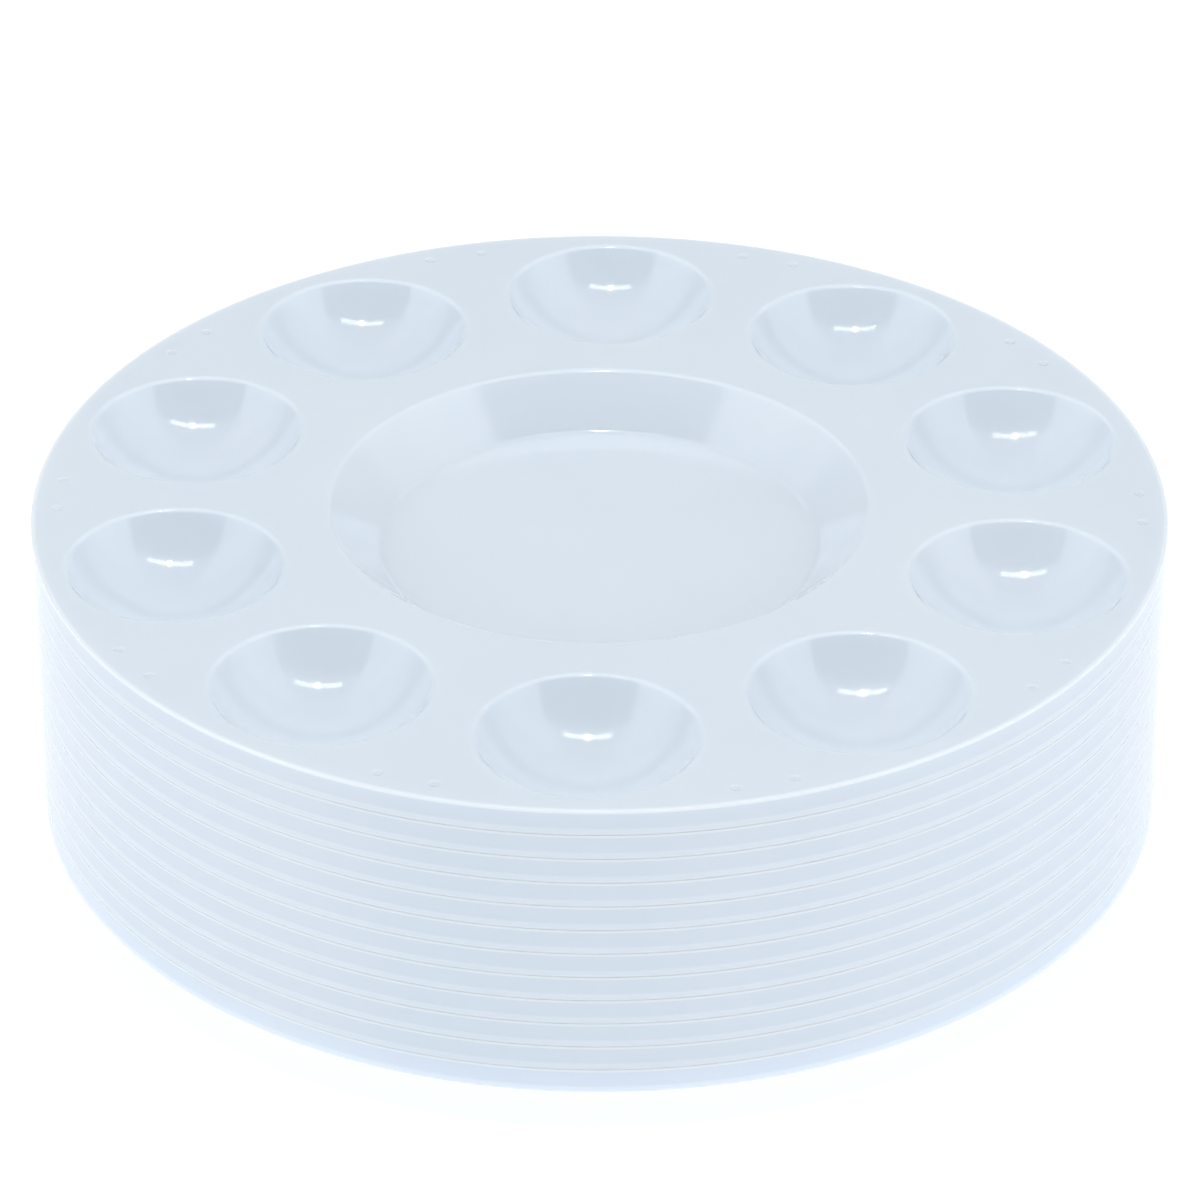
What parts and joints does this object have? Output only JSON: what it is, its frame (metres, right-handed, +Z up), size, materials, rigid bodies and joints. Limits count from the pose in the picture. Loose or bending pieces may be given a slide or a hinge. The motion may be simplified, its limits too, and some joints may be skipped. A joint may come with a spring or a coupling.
{
  "type": "mixing palette stack",
  "caption": "Stack of nested round plastic mixing palettes, each with a ring of bowl wells around a central basin.",
  "frame": {"origin": "on the stack's vertical axis, in the plane of the feet of the lowest palette", "axes": "+Z up along the stack's axis; +Y and -Y pass through the middle of a well"},
  "size_m": [0.17, 0.17, 0.054],
  "materials": {
    "milky_plastic": "glossy"
  },
  "bodies": {
    "palette_01": {"palette_01": "milky_plastic"},
    "palette_02": {"palette_02": "milky_plastic"},
    "palette_03": {"palette_03": "milky_plastic"},
    "palette_04": {"palette_04": "milky_plastic"},
    "palette_05": {"palette_05": "milky_plastic"},
    "palette_06": {"palette_06": "milky_plastic"},
    "palette_07": {"palette_07": "milky_plastic"},
    "palette_08": {"palette_08": "milky_plastic"},
    "palette_09": {"palette_09": "milky_plastic"},
    "palette_10": {"palette_10": "milky_plastic"},
    "palette_11": {"palette_11": "milky_plastic"},
    "palette_12": {"palette_12": "milky_plastic"}
  },
  "joints": [
    {"name": "lift_02", "type": "slide", "parent": "palette_01", "child": "palette_02", "axis": [0, 0, 1], "range_m": [0, 0.012]},
    {"name": "lift_03", "type": "slide", "parent": "palette_02", "child": "palette_03", "axis": [0, 0, 1], "range_m": [0, 0.012]},
    {"name": "lift_04", "type": "slide", "parent": "palette_03", "child": "palette_04", "axis": [0, 0, 1], "range_m": [0, 0.012]},
    {"name": "lift_05", "type": "slide", "parent": "palette_04", "child": "palette_05", "axis": [0, 0, 1], "range_m": [0, 0.012]},
    {"name": "lift_06", "type": "slide", "parent": "palette_05", "child": "palette_06", "axis": [0, 0, 1], "range_m": [0, 0.012]},
    {"name": "lift_07", "type": "slide", "parent": "palette_06", "child": "palette_07", "axis": [0, 0, 1], "range_m": [0, 0.012]},
    {"name": "lift_08", "type": "slide", "parent": "palette_07", "child": "palette_08", "axis": [0, 0, 1], "range_m": [0, 0.012]},
    {"name": "lift_09", "type": "slide", "parent": "palette_08", "child": "palette_09", "axis": [0, 0, 1], "range_m": [0, 0.012]},
    {"name": "lift_10", "type": "slide", "parent": "palette_09", "child": "palette_10", "axis": [0, 0, 1], "range_m": [0, 0.012]},
    {"name": "lift_11", "type": "slide", "parent": "palette_10", "child": "palette_11", "axis": [0, 0, 1], "range_m": [0, 0.012]},
    {"name": "lift_12", "type": "slide", "parent": "palette_11", "child": "palette_12", "axis": [0, 0, 1], "range_m": [0, 0.012]}
  ]
}
